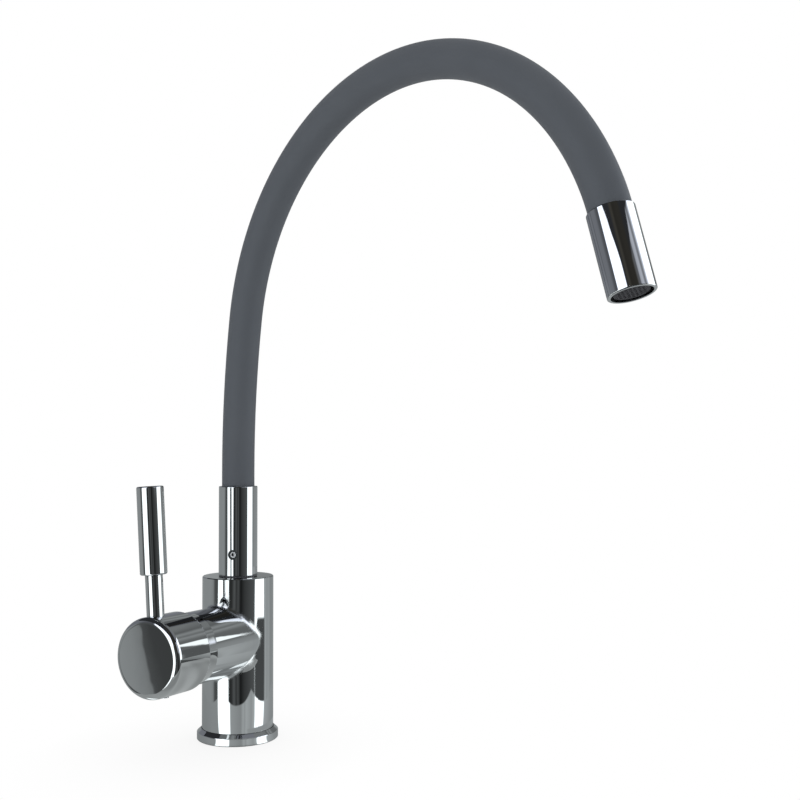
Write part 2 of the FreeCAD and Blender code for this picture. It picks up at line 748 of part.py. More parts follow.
def spout_foot():
    top = D.column_height
    ring_half = D.ring_section + D.running_gap
    ring_depth = D.ring_section * 2 - D.running_gap / 2
    grooves = [(top + D.ring_low, ring_half, ring_depth),
               (top + D.screw_rise, D.screw_groove, D.screw_groove_depth),
               (top + D.ring_high, ring_half, ring_depth)]
    foot_low = top - D.nipple_foot
    nipple_top = top + D.nipple_stand
    corners = [(D.nipple_bore, foot_low), (D.nipple_radius, foot_low)]
    corners += grooved(D.nipple_radius, grooves)
    corners += [(D.nipple_radius, nipple_top - D.edge_break),
                (D.nipple_radius - D.edge_break, nipple_top), (D.nipple_bore, nipple_top)]
    keep(turned("nipple_blank", corners), "spout_nipple")
    ring_centre = D.nipple_radius - D.ring_section + D.running_gap / 2
    rings = [torus(ring_centre, D.ring_section, placed(0, 0, top + height))
             for height in (D.ring_low, D.ring_high)]
    keep(group(*rings), "nipple_o_rings")
    washer_hole = D.nipple_radius + D.slip_gap
    washer = ring("washer_blank", WASHER_RADIUS, washer_hole, top, top + D.washer_thickness)
    keep(washer, "swivel_washer")

    bottom = top + D.washer_thickness + D.running_gap
    bore = D.nipple_radius + D.running_gap
    blank = turned("sleeve_blank", [
        (bore, bottom), (SLEEVE_RADIUS, bottom), (SLEEVE_RADIUS, SLEEVE_TOP),
        (COVER_SEAT, SLEEVE_TOP), (COVER_SEAT, SLEEVE_SHOULDER), (bore, SLEEVE_SHOULDER),
    ], rounds=[((SLEEVE_RADIUS, SLEEVE_TOP), D.edge_break),
               ((SLEEVE_RADIUS, bottom), D.edge_break / 2)])
    heading = Rotation(UP, D.sleeve_screw_azimuth.value)
    screw_axis = placed(0, 0, top + D.screw_rise, heading).multiply(placed(turn=ACROSS))
    hole = cylinder(D.sleeve_screw_radius + D.thread_gap, SLEEVE_RADIUS, screw_axis)
    recess_start = SLEEVE_RADIUS - D.sleeve_screw_inset
    recess = cylinder(D.sleeve_screw_recess, D.sleeve_screw_inset,
                      screw_axis.multiply(placed(0, 0, recess_start)))
    keep(cut(blank, hole, recess), "spout_sleeve")
    tip = D.nipple_radius - D.screw_groove_depth + D.slip_gap
    point = D.screw_groove - D.slip_gap
    point_length = bore + D.slip_gap - tip
    screw = grub_screw("sleeve_screw_blank", D.sleeve_screw_radius, recess_start - tip,
                       D.sleeve_screw_key, point, point_length)
    keep(screw, "sleeve_grub_screw", screw_axis.multiply(placed(0, 0, tip)))

    low = SLEEVE_SHOULDER
    flange = COVER_SEAT - D.running_gap * 2
    spigot = COVER_BORE - D.slip_gap
    hold = D.tube_radius + D.ball_gap
    ferrule = turned("lower_ferrule_blank", [
        (hold, low), (flange, low), (flange, low + D.ferrule_flange),
        (spigot, low + D.ferrule_flange), (spigot, low + D.ferrule_flange + D.ferrule_spigot),
        (hold, low + D.ferrule_flange + D.ferrule_spigot)])
    keep(ferrule, "lower_ferrule")


# Bendable spout: straight out of the sleeve, then tangent arcs in the XZ plane.

# A length too short to matter, which tells one stretch of the route from the next.
HAIR = 1e-6


class Route:
    """The spout's centre line, as straight runs (turn 0) and right-hand arcs."""

    def __init__(self, start, stretches):
        self.start = start
        self.stretches = stretches

    def pieces(self, first, last):
        """The runs and arcs between two lengths along the line: (frame, radius, turn, length)."""
        found = []
        point, heading, walked = Vector(self.start), pi / 2, 0.0
        for radius, turn, length in self.stretches:
            low = max(first, walked) - walked
            high = min(last, walked + length) - walked
            if high > low:
                frame = self.step(point, heading, radius, turn, low)
                share = (high - low) / length
                found.append((self.placement(*frame), radius, turn * share, high - low))
            point, heading = self.step(point, heading, radius, turn, length)
            walked += length
        return found

    def step(self, point, heading, radius, turn, length):
        """The point and heading after a length of one stretch."""
        ahead = Vector(cos(heading), 0, sin(heading))
        if turn == 0:
            return point + ahead * length, heading
        right = Vector(sin(heading), 0, -cos(heading))
        angle = length / radius
        moved = right * (radius * (1 - cos(angle))) + ahead * (radius * sin(angle))
        return point + moved, heading - angle

    def placement(self, point, heading):
        """A frame whose Z runs on along the line and whose Y is the row's Y."""
        ahead = Vector(cos(heading), 0, sin(heading))
        right = Vector(sin(heading), 0, -cos(heading))
        return Placement(point, Rotation(right, Vector(0, 1, 0), ahead))

    def at(self, length):
        """The frame at a length along the line."""
        return self.pieces(length, length + HAIR)[0][0]


ARCS = [(D.arc_a_radius, D.arc_a_angle), (D.arc_b_radius, D.arc_b_angle),
        (D.arc_c_radius, D.arc_c_angle), (D.arc_d_radius, D.arc_d_angle),
        (D.arc_e_radius, D.arc_e_angle), (D.arc_f_radius, D.arc_f_angle)]
HOSE_LOW = SLEEVE_SHOULDER + D.ferrule_flange
STRAIGHT = (SLEEVE_TOP - HOSE_LOW + D.rise_above_sleeve).value
ARC_LENGTHS = [radius.value * radians(turn.value) for radius, turn in ARCS]
ROUTE = Route((0, 0, HOSE_LOW.value), [(0, 0, STRAIGHT)] + [
    (radius.value, turn.value, length) for (radius, turn), length in zip(ARCS, ARC_LENGTHS)
] + [(0, 0, D.head_length.value)])
HOSE_END = STRAIGHT + sum(ARC_LENGTHS)
# The arm bends where one of the first arcs runs into the next.
BENDS = 4
PIVOTS = [STRAIGHT + sum(ARC_LENGTHS[:bend + 1]) for bend in range(BENDS)]
# The head: its own Z runs down its axis from its upper rim.
HEAD = ROUTE.at(HOSE_END)


def rod_along(radius, first, last):
    """A round rod that follows the route between two lengths."""
    rods = []
    for frame, bend, turn, length in ROUTE.pieces(first, last):
        if turn == 0:
            rod = cylinder(radius, length, frame)
            rods.append(rod)
            continue
        spin = Rotation(Vector(-1, 0, 0), Vector(0, 0, 1), Vector(0, 1, 0))
        to_centre = Placement(Vector(bend, 0, 0), spin)
        rods.append(torus(bend, radius, frame.multiply(to_centre), turn))
    return joined(*rods)


def socket_end(length):
    """The cup at a link's lower end, open to the ball below it: (cup, hollow)."""
    at = ROUTE.at(length)
    height = D.socket_rim + D.socket_length
    cup = cylinder(SOCKET_RADIUS, height, at.multiply(placed(0, 0, -D.socket_rim)))
    return cup, sphere(D.socket_bore, at)


def ball_end(length):
    """The ball at a link's upper end, on its neck."""
    at = ROUTE.at(length)
    neck = cylinder(NECK_RADIUS, D.neck_length, at.multiply(placed(0, 0, -D.neck_length)))
    return [neck, sphere(D.socket_bore - D.ball_gap, at)]


def arm_link(label, first, last, has_socket, has_ball):
    """One rigid stretch of the bendable arm, from one pivot to the next."""
    low, high = first, last
    solids, hollows = [], []
    if has_socket:
        cup, hollow = socket_end(first)
        solids.append(cup)
        hollows.append(hollow)
        low = first + D.socket_length.value - D.socket_rim.value
    if has_ball:
        solids += ball_end(last)
        high = last - D.neck_length.value
    tube = rod_along(LINK_RADIUS, low, high)
    past = D.socket_bore.value * 2
    bore = rod_along(LINK_BORE, first - has_socket * past, last + has_ball * past)
    keep(cut(joined(tube, *solids), bore, *hollows), label)


def bendable_spout():
    root_start = D.ferrule_spigot.value
    tip_end = HOSE_END + D.tip_start.value
    stops = [root_start] + PIVOTS + [tip_end]
    labels = ["arm_root_link", "arm_link_1", "arm_link_2", "arm_link_3", "arm_tip_link"]
    for number, label in enumerate(labels):
        arm_link(label, stops[number], stops[number + 1], number > 0, number < len(labels) - 1)
    lift = D.slip_gap.value
    flange_face = (D.head_shoulder - D.ferrule_flange).value
    cover_end = HOSE_END + flange_face - lift
    cover = cut(rod_along(COVER_RADIUS, lift, cover_end), rod_along(COVER_BORE, lift, cover_end))
    keep(cover, "hose_cover")
    tube_low = D.running_gap.value
    tube_high = HOSE_END + (D.head_shoulder + D.tube_overlap).value
    tube = cut(rod_along(D.tube_radius, tube_low, tube_high),
               rod_along(TUBE_BORE, tube_low, tube_high))
    keep(tube, "water_tube")


# Spray head: shell, ferrule and aerator, all on the head's own axis.

# Counts of the aerator's ribs, and of the rings of holes about the middle one.
INSERT_RIBS = 3
INSERT_RINGS = 1
FACE_RINGS = 3
# Each hole of the honeycomb stands on a corner, half of a hexagon's 60 degree step.
ON_A_CORNER = 30


def head():
    shell = turned("head_blank", [
        (COVER_SEAT, 0), (HEAD_RADIUS, 0), (HEAD_RADIUS, D.head_length),
        (AERATOR_BORE, D.head_length), (AERATOR_BORE, AERATOR_SEAT),
        (D.head_neck_bore, AERATOR_SEAT), (D.head_neck_bore, D.head_shoulder),
        (COVER_SEAT, D.head_shoulder),
    ], rounds=[((HEAD_RADIUS, 0), D.edge_break), ((HEAD_RADIUS, D.head_length), D.edge_break)])
    keep(shell, "head_shell", HEAD)
    flange = COVER_SEAT - D.running_gap * 2
    flange_low = D.head_shoulder - D.ferrule_flange
    spigot = COVER_BORE - D.slip_gap
    hold = D.tube_radius + D.ball_gap
    tail = D.head_neck_bore - D.thread_gap
    tail_end = AERATOR_SEAT - D.tail_gap
    ferrule = turned("upper_ferrule_blank", [
        (hold, D.tip_start), (spigot, D.tip_start), (spigot, flange_low), (flange, flange_low),
        (flange, D.head_shoulder), (tail, D.head_shoulder), (tail, tail_end), (hold, tail_end)])
    keep(ferrule, "upper_ferrule", HEAD)


def aerator():
    housing_out = AERATOR_BORE - D.thread_gap
    housing_in = housing_out - D.aerator_wall
    housing_low = AERATOR_SEAT + D.aerator_seal
    housing_end = D.head_length - D.aerator_recess
    lip = housing_in - D.aerator_wall
    seal = ring("aerator_seal_blank", housing_out, lip, AERATOR_SEAT, housing_low)
    keep(seal, "aerator_washer", HEAD)
    lip_end = housing_low + D.aerator_wall
    housing = turned("aerator_housing_blank", [
        (lip, housing_low), (housing_out, housing_low), (housing_out, housing_end),
        (housing_in, housing_end), (housing_in, lip_end), (lip, lip_end)])
    keep(housing, "aerator_housing", HEAD)
    fit = housing_in - D.running_gap
    waist = fit - D.aerator_wall
    # Ribs hold the insert in the housing, with a waist of the same height between two of them.
    corners = [(0, lip_end)]
    high = lip_end
    for number in range(INSERT_RIBS):
        if number > 0:
            corners += [(waist, high), (waist, high + D.insert_rib)]
            high = high + D.insert_rib
        corners += [(fit, high), (fit, high + D.insert_rib)]
        high = high + D.insert_rib
    corners.append((0, high))
    blank = turned("aerator_insert_blank", corners)
    keep(perforated(blank, lip_end, high - lip_end, INSERT_RINGS), "aerator_insert", HEAD)
    # The face stands out of the housing, so that a dark gap runs round it inside the rim.
    face_end = D.head_length - D.face_recess
    face_low = face_end - D.face_thickness
    plate = turned("aerator_face_blank", [
        (0, face_low), (fit, face_low), (fit, face_end), (0, face_end)])
    keep(perforated(plate, face_low, D.face_thickness, FACE_RINGS), "aerator_face", HEAD)


def perforated(plate, low, thickness, rings):
    """Six-sided holes on a honeycomb, in rings about the middle one."""
    holes = []
    for column_number in range(-rings, rings + 1):
        for row_number in range(-rings, rings + 1):
            if abs(column_number + row_number) > rings:
                continue
            x = D.hole_pitch.value * (column_number + row_number / 2)
            y = D.hole_pitch.value * row_number * sin(pi / 3)
            hole = doc.addObject("Part::Prism", "hole")
            hole.Polygon = 6
            bind(hole, Circumradius=D.hole_radius, Height=thickness)
            hole.Placement = placed(x, y, low, Rotation(UP, ON_A_CORNER))
            holes.append(hole)
    return cut(plate, *holes)


def write_parts():
    """Recomputes, refuses anything broken, and writes one file for each piece."""
    doc.recompute()
    broken = [thing.Label for thing in doc.Objects if {"Invalid", "Error"} & set(thing.State)]
    if broken:
        raise RuntimeError(f"these did not build: {broken}")
    for piece in PARTS:
        if piece.Shape.isNull() or not piece.Shape.isValid():
            raise RuntimeError(f"{piece.Label} has no valid shape")
    os.makedirs("parts", exist_ok=True)
    for piece in PARTS:
        piece.Shape.exportStep(f"parts/{piece.Label}.step")
        print(f"{piece.Label}: {len(piece.Shape.Solids)} solid, {piece.Shape.Volume / 1000:.2f} cm3")


def print_route():
    """Says where the arm bends and where the head sits, for the record of its joints."""
    for number, length in enumerate(PIVOTS, start=1):
        point = ROUTE.at(length).Base
        print(f"bend {number}: x {point.x:.3f}, z {point.z:.3f}")
    print(f"head: x {HEAD.Base.x:.3f}, z {HEAD.Base.z:.3f}, hose length {HOSE_END:.1f}")


foot()
column()
cartridge_still()
branch_trim()
moving_disc()
rotor()
spindle()
handle()
spout_foot()
bendable_spout()
head()
aerator()
write_parts()
print_route()
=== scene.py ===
# %% Load the tap
from math import cos, pi, radians, sin

import bpy
from mathutils import Matrix, Vector


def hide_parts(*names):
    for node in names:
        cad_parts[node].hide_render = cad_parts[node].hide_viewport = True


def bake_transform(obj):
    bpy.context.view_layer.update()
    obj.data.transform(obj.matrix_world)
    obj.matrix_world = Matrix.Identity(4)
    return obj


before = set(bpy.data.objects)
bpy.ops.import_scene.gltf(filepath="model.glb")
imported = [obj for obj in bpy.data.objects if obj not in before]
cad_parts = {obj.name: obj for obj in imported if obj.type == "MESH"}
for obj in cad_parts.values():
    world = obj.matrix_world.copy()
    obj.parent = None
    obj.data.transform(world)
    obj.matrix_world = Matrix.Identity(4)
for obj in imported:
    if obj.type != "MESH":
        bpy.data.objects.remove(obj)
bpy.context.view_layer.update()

# %% [markdown]
# # Dressing a kitchen mixer tap
# The tap comes in as exact metal, plastic and rubber solids, each riding on the body that it
# moves with. This lesson sets up the studio, gives the solids their finishes, and draws a soft
# grey cover along the bendable spout. Everything is in metres: +Z is up, and the spout reaches
# towards +X.

# %% [markdown]
# ## The camera
# The picture is taken from about three quarters of a metre, a little above the foot of the
# hose. The camera's axes are written out, because they were solved from the tap's straight
# edges. Aiming at a target object would be quicker, but it would guess the roll.

# %% Camera
STAND = (0.6075, -0.4051, 0.1818)
LOOK = Vector((-0.7461, 0.6647, 0.0382)).normalized()
ACROSS = Vector((0.6651, 0.7467, -0.0029)).normalized()
RISE = ACROSS.cross(LOOK)
FOCAL_LENGTH, SENSOR_WIDTH = 51.75, 36.0

scene = bpy.context.scene
scene.view_settings.view_transform = "Standard"
lens = bpy.data.cameras.new("camera")
lens.lens, lens.sensor_width = FOCAL_LENGTH, SENSOR_WIDTH
camera = bpy.data.objects.new("camera", lens)
scene.collection.objects.link(camera)
axes = Matrix((ACROSS, RISE, -LOOK)).transposed().to_4x4()
camera.matrix_world = Matrix.Translation(STAND) @ axes
scene.camera = camera
print("camera at", STAND, "looks along", tuple(LOOK))

# %% [markdown]
# ## Shader arithmetic
# A finish is a sum of small patterns: a polish wave plus a hairline, a tint times a mask.
# Written as node calls such sums get long, so an output is wrapped in a small class whose
# + - * / add the Math nodes. One method adds any other node. The Mix node has a pair of inputs
# for each kind of value, and the table below says where each pair lies.

# %% Outputs that can be added and multiplied
MIX_SOCKETS = {"FLOAT": (2, 3), "VECTOR": (4, 5), "RGBA": (6, 7)}


class Wire:
    """One output in a shader's node tree."""

    def __init__(self, tree, socket=None):
        self.tree, self.socket = tree, socket

    def node(self, kind, inputs=None, stops=None, output=None, **settings):
        """Adds a node: settings and a ramp's stops first, then values or wires for its sockets."""
        made = self.tree.nodes.new("ShaderNode" + kind)
        for name, value in settings.items():
            setattr(made, name, value)
        if stops:
            elements = made.color_ramp.elements
            elements.remove(elements[1])
            for number, (place, tone) in enumerate(stops):
                stop = elements[0] if number == 0 else elements.new(place)
                stop.position, stop.color = place, (tone, tone, tone, 1)
        for name, value in (inputs or {}).items():
            if isinstance(value, Wire):
                self.tree.links.new(value.socket, made.inputs[name])
            else:
                made.inputs[name].default_value = value
        shown = [o for o in made.outputs if o.enabled]
        found = made.outputs[output] if output else (shown[0] if shown else None)
        return Wire(self.tree, found)

    def part(self, name):
        """Another output of the same node."""
        return Wire(self.tree, self.socket.node.outputs[name])

    def math(self, operation, *values):
        """A Math node with these values or wires on its sockets."""
        return self.node("Math", dict(enumerate(values)), operation=operation)

    def __add__(self, other):
        return self.math("ADD", self, other)

    __radd__ = __add__

    def __sub__(self, other):
        return self.math("SUBTRACT", self, other)

    def __rsub__(self, other):
        return self.math("SUBTRACT", other, self)

    def __mul__(self, other):
        return self.math("MULTIPLY", self, other)

    __rmul__ = __mul__

    def __truediv__(self, other):
        return self.math("DIVIDE", self, other)

    def __rtruediv__(self, other):
        return self.math("DIVIDE", other, self)

    def __pow__(self, power):
        return self.math("POWER", self, power)

    def __abs__(self):
        return self.math("ABSOLUTE", self)

    def above(self, other):
        """The larger of the two."""
        return self.math("MAXIMUM", self, other)

    def between(self, low, high):
        """0 below low, 1 above high, and a smooth step between."""
        limits = {"Value": self, "From Min": low, "From Max": high}
        return self.node("MapRange", limits, interpolation_type="SMOOTHSTEP")

    def mix(self, first, second, kind="FLOAT"):
        """From the first to the second as this value goes from 0 to 1."""
        a, b = MIX_SOCKETS[kind]
        return self.node("Mix", {0: self, a: first, b: second}, data_type=kind)

    def tint(self, first, second):
        """A colour between two, by this value. Each is a wire or three numbers."""
        ends = [end if isinstance(end, Wire) else (*end, 1) for end in (first, second)]
        return self.mix(*ends, kind="RGBA")


def begin(owner):
    """Empties the node tree of a material or a world, and returns a wire to build from."""
    owner.use_nodes = True
    owner.node_tree.nodes.clear()
    return Wire(owner.node_tree)


print("arithmetic ready, mixing", list(MIX_SOCKETS))

# %% [markdown]
# ## Patterns
# Every pattern reads Object coordinates, so its grain stays on the piece from every side and
# has its real size. A noise of scale 100 has waves about a centimetre long, and one of 3000
# about a third of a millimetre.


# %% Patterns
def coordinates(wire, stretch=(1, 1, 1), turn=(0, 0, 0)):
    """The piece's own coordinates, stretched after being turned."""
    place = wire.node("TexCoord", output="Object")
    turned_place = wire.node("Mapping", {"Vector": place, "Rotation": turn})
    return wire.node("Mapping", {"Vector": turned_place, "Scale": stretch})


def noise(place, scale, detail=2.0):
    """A cloudy pattern, about 0 to 1, with waves 1 / scale metres long."""
    return place.node("TexNoise", {"Vector": place, "Scale": scale, "Detail": detail})


def split(place):
    """The x, y and z of a place."""
    x = place.node("SeparateXYZ", {0: place})
    return x, x.part("Y"), x.part("Z")


def turned(x, y, angle):
    """How far a place lies ahead along this bearing, and how far aside to its left."""
    return x * cos(angle) + y * sin(angle), y * cos(angle) - x * sin(angle)


def within(value, low, high, soft):
    """1 between two limits, with soft edges outside them."""
    return value.between(low - soft, low) * (1 - value.between(high, high + soft))


print("a place 1 m along Y is", turned(0, 1, pi / 2), "m ahead and aside of a bearing of 90")

# %% [markdown]
# ## White air
# The tap stands on nothing but white. Turning the lamps up would bleach the metal, so the
# white is written where only the camera, and what gloss and glass show, can see it. All other
# light in the air is soft grey.

# %% Air
AIR_STRENGTH, AIR_COLOUR = 0.62, (0.97, 0.985, 1, 1)
WHITE = (1, 1, 1, 1)


def seen_white(wire):
    """1 for rays from the camera and rays that left a glossy or clear surface."""
    path = wire.node("LightPath", output="Is Camera Ray")
    return path.above(path.part("Is Glossy Ray")).above(path.part("Is Transmission Ray"))


world = bpy.data.worlds.new("air")
scene.world = world
wire = begin(world)
soft = wire.node("Background", {"Color": AIR_COLOUR, "Strength": AIR_STRENGTH})
white = wire.node("Background", {"Color": WHITE, "Strength": 1.0})
air = wire.node("MixShader", {0: seen_white(wire), 1: soft, 2: white})
wire.node("OutputWorld", {"Surface": air})
print("air at", AIR_STRENGTH)

# %% [markdown]
# ## A pale floor
# The floor is plain matt paint, and the same white is written over it for the same rays. A
# plane that only catches shadows would do for a cut-out, but this floor stands in the picture
# itself. Where the tap stands close over it the white dims, which leaves the soft shadow of
# its foot.

# %% Floor
FLOOR_SIZE, FLOOR_PAINT = 40, (0.9, 0.9, 0.9, 1)
SHADOW_REACH, SHADOW_TONE = 0.09, 0.85


def deselect():
    """Nothing stays selected, so that an operator acts on the new piece alone."""
    if bpy.context.object and bpy.context.object.mode == "EDIT":
        bpy.ops.object.mode_set(mode="OBJECT")
    bpy.ops.object.select_all(action="DESELECT")


deselect()
bpy.ops.mesh.primitive_grid_add(x_subdivisions=8, y_subdivisions=8, size=FLOOR_SIZE)
floor = bpy.context.object
floor.name = "floor"
paint = bpy.data.materials.new("floor_white")
wire = begin(paint)
lit = wire.node("BsdfDiffuse", {"Color": FLOOR_PAINT})
open_sky = wire.node("AmbientOcclusion", {"Distance": SHADOW_REACH}, output="AO", samples=8)
shine = {"Color": WHITE, "Strength": open_sky.mix(SHADOW_TONE, 1.0)}
seen = wire.node("MixShader", {0: seen_white(wire), 1: lit, 2: wire.node("Emission", shine)})
wire.node("OutputMaterial", {"Surface": seen})
floor.data.materials.append(paint)
print("floor", tuple(floor.dimensions))

# %% [markdown]
# ## Cards for the chrome to look at
# Polished metal has hardly a colour of its own: it shows the room. A photographer shapes that
# with cards: two tall white panels, a dark room behind the camera, and grey walls at the back.
# Here they are a drum round the tap, which only reflections can see. Its tone depends on the
# bearing, measured from the camera's side, so a handful of boards is one row of tones. A second
# row stands higher up, where the spray head looks.
#
# Nothing is done with pictures: each board is an edge, a tone and a softness, so that one can be
# moved by a number when the metal shows it in the wrong place.

# %% Tones round the drum
PANEL = 2.4
FACING = radians(-33.7)
ROOM = [(-180, 0.35), (-97, 0.41), (-86, 0.36), (-79, 0.12), (-67, 0.10), (-65, PANEL),
        (-30, PANEL), (-28, 0.04), (-19, 0.04), (-11, 0.14), (-4, 0.05), (1, 0.11), (9, 0.012),
        (22, 0.06), (55, 0.13), (57.5, PANEL), (91, PANEL), (94, 0.30), (99, 0.60), (105, 0.46),
        (118, 0.50), (130, 0.37), (180, 0.34)]
UPPER = [(-180, 0.26), (-127, 0.28), (-124.5, 0.17), (-122, 0.17), (-119, 0.27), (-93, 0.265),
         (-80, 0.15), (-68, 0.125), (-66, PANEL), (-25, PANEL), (-23, 0.035), (-11, 0.07),
         (-4, 0.035), (18, 0.04), (24, 0.17), (29, 0.16), (32, 0.62), (41, 0.76), (44, 0.45),
         (49, 0.26), (53.5, 0.6), (58.5, 1.4), (61, PANEL), (125, PANEL), (130, 0.30),
         (180, 0.26)]
BACK_WALL = [(0.0, 0.42), (0.15, 0.36), (0.25, 0.20), (0.45, 0.20), (0.55, 0.22), (0.66, 0.40),
             (0.72, 0.24), (0.80, 0.40), (0.88, 0.18), (1.0, 0.28), (1.3, 0.28)]


def along(value, stops):
    """A tone that goes in straight lines from stop to stop."""
    first, span = stops[0][0], stops[-1][0] - stops[0][0]
    places = [((place - first) / span, tone / PANEL) for place, tone in stops]
    return value.node("ValToRGB", {0: (value - first) / span}, stops=places) * PANEL


print("rows of", len(ROOM), "and", len(UPPER), "tones, and", len(BACK_WALL), "up the back wall")

# %% [markdown]
# ### The walls
# The left panel and the window end at the top in dark room, and the right panel in grey. Past
# the right panel come a dark post and a lit strip, in front of the back wall. A pair below says
# where an edge starts and where it is complete, and a triple is a board's two sides and the
# softness outside them. Bearings are in degrees.

# %% The drum's walls
UPPER_FADE = (0.20, 0.32)
PANEL_TOP, PANEL_SIDE, PANEL_CORNER, PANEL_FALL = (0.655, 0.672), (-22, -20), -45, 0.00004
WINDOW_TOP, WINDOW_EDGE, WINDOW_SIDES = 0.813, (-0.004, 0.008), (10, 57, 8)
WINDOW_CORNER, WINDOW_FALL = 43, 0.003
RIGHT_TOP, RIGHT_SIDE, RIGHT_TONE = (0.87, 0.90), (46, 54), 0.29
POST_SIDES, POST_TOP, POST_TONE = (98, 100.3, 0.7), (0.24, 0.28), 0.15
STRIP_SIDES, STRIP_ENDS, STRIP_TONE = (101.5, 104.5, 1.0), (0.27, 0.45, 0.03), 1.8
BACK_EDGE, BACK_LEAN = (93.5, 95.0), 20
DARK = 0.04


def walls(bearing, height):
    """The drum's walls: panels, a window high on the right, and a lit strip at the back."""
    tone = height.between(*UPPER_FADE).mix(along(bearing, ROOM), along(bearing, UPPER))
    raised = height + (bearing - PANEL_CORNER).above(0) ** 2 * PANEL_FALL
    over_panel = raised.between(*PANEL_TOP) * (1 - bearing.between(*PANEL_SIDE))
    tone = over_panel.mix(tone, DARK)
    window_top = WINDOW_TOP - (WINDOW_CORNER - bearing).above(0) * WINDOW_FALL
    over_window = (height - window_top).between(*WINDOW_EDGE) * within(bearing, *WINDOW_SIDES)
    tone = over_window.mix(tone, DARK)
    over_right = height.between(*RIGHT_TOP) * bearing.between(*RIGHT_SIDE)
    tone = over_right.mix(tone, RIGHT_TONE)
    post = within(bearing, *POST_SIDES) * (1 - height.between(*POST_TOP))
    back = post.mix(along(height, BACK_WALL), POST_TONE)
    strip = within(bearing, *STRIP_SIDES) * within(height, *STRIP_ENDS)
    back = strip.mix(back, STRIP_TONE)
    return (bearing - height ** 2 * BACK_LEAN).between(*BACK_EDGE).mix(tone, back)


print("panels up to", PANEL_TOP[0], "m, window up to", WINDOW_TOP, "m")

# %% [markdown]
# ### The floor of the drum
# The drum's floor carries three things more. A square pale sheet lies under the foot and shows
# the panels again, as a varnished table does. Close to the foot a table's mirror picture fans
# out, so the bearing is stretched there, and right of the foot a ring of it is plain. A dark
# board lies to the right, and a small two-toned board to the left, where the cap's flat face
# looks: a flat mirror shows one spot of the room.

# %% Tones on the drum's floor
SHEET = [(-180, 0.30), (-93, 0.41), (-67, 0.41), (-65, PANEL), (-26, PANEL), (-23, 0.50),
         (10, 0.39), (18, 0.58), (22, 0.48), (28, 0.60), (45, 0.48), (56, 0.65), (58, PANEL),
         (91, PANEL), (96, 0.60), (133, 0.42), (180, 0.30)]
SHEET_HALF, SHEET_SOFT, SHEET_TURN = 0.127, 0.003, radians(-3)
FAN_REACH, FAN_LEAST, FAN_POWER = 0.025, 0.02, 1.5
FAR_EDGE, FAR_CORNER, FAR_FALL = (0.51, 0.54), 66, 0.0022
DARK_SIDES, DARK_TONE = (57, 93, 1.5), 0.10
RING_SIDES, RING_START, RING_TONE = (0.047, 0.058, 0.003), (20, 30), 0.46
FACE_BOARD = [(-0.032, 0.43), (-0.016, 0.38), (-0.009, 0.33), (-0.006, 0.29), (-0.0045, 0.115),
              (0.004, 0.08), (0.03, 0.072)]
FACE_SIDES, FACE_ENDS = (-0.62, -0.22, 0.01), (-0.045, 0.035, 0.005)
FACE_SLOPE, FACE_AHEAD = 0.1575, 0.0771


def ground(bearing, distance, ahead, aside):
    """The drum's floor: the far boards, the dark board, the sheet and the cap's own board."""
    turn = bearing * (1 + (FAN_REACH / distance.above(FAN_LEAST)) ** FAN_POWER)
    far = (distance + (FAR_CORNER - bearing).above(0) ** 2 * FAR_FALL).between(*FAR_EDGE)
    dark = within(turn, *DARK_SIDES) * (1 - far)
    tone = dark.mix(along(turn, ROOM), DARK_TONE)
    across, alongside = turned(ahead, aside, SHEET_TURN)
    from_middle = abs(across).above(abs(alongside))
    sheet = 1 - from_middle.between(SHEET_HALF - SHEET_SOFT, SHEET_HALF + SHEET_SOFT)
    tone = sheet.mix(tone, along(turn, SHEET))
    plain = sheet * within(distance, *RING_SIDES) * bearing.between(*RING_START)
    tone = plain.mix(tone, RING_TONE)
    past_split = ahead + aside * FACE_SLOPE - FACE_AHEAD
    board = within(aside, *FACE_SIDES) * within(past_split, *FACE_ENDS)
    return board.mix(tone, along(past_split, FACE_BOARD))


print("sheet", 2 * SHEET_HALF, "m across")

# %% [markdown]
# ### The drum itself
# The boards could each be a plane, but a cylinder takes them all in one material, and each
# can then be cut to any outline. It only shines, and reflections alone see it, so the lamps
# light the tap as if it weren't there. High up, where the spray head looks, the dark room is
# tinted warm and the panels beside it cool.

# %% Drum of cards
DRUM_SIDES, DRUM_RADIUS, DRUM_HEIGHT, DRUM_LIFT = 96, 1.0, 1.3, 0.0005
WALL_FOOT = (0.001, 0.003)
DARK_ROOM = ((-20, -15), (14, 28))
WARM, COOL, LOW = (1.06, 1.0, 0.86), (0.90, 0.95, 1.06), (0.94, 1.0, 1.01)
HIGH_START, BACK_START = (0.20, 0.30), (95, 100)


def cards(wire):
    """The brightness of the drum at a place on it, and its tint."""
    x, y, height = split(wire.node("TexCoord", output="Object"))
    ahead, aside = turned(x, y, FACING)
    bearing = aside.math("ARCTAN2", aside, ahead) * (180 / pi)
    distance = (ahead ** 2 + aside ** 2) ** 0.5
    standing = height.between(*WALL_FOOT)
    tone = standing.mix(ground(bearing, distance, ahead, aside), walls(bearing, height))
    beside = (1 - bearing.between(*DARK_ROOM[0])) + bearing.between(*DARK_ROOM[1])
    high = height.between(*HIGH_START) * (1 - bearing.between(*BACK_START))
    return tone, high.tint(LOW, beside.tint(WARM, COOL))


def emit(name, cards_of):
    """A material that only shines, with the tone and tint that cards_of works out."""
    material = bpy.data.materials.new(name)
    wire = begin(material)
    tone, tint = cards_of(wire)
    surface = wire.node("Emission", {"Color": tint, "Strength": tone})
    wire.node("OutputMaterial", {"Surface": surface})
    return material


def reflections_only(card):
    """Seen by gloss alone: it lights nothing, shades nothing and hides nothing."""
    card.visible_camera = card.visible_diffuse = False
    card.visible_transmission = card.visible_shadow = False


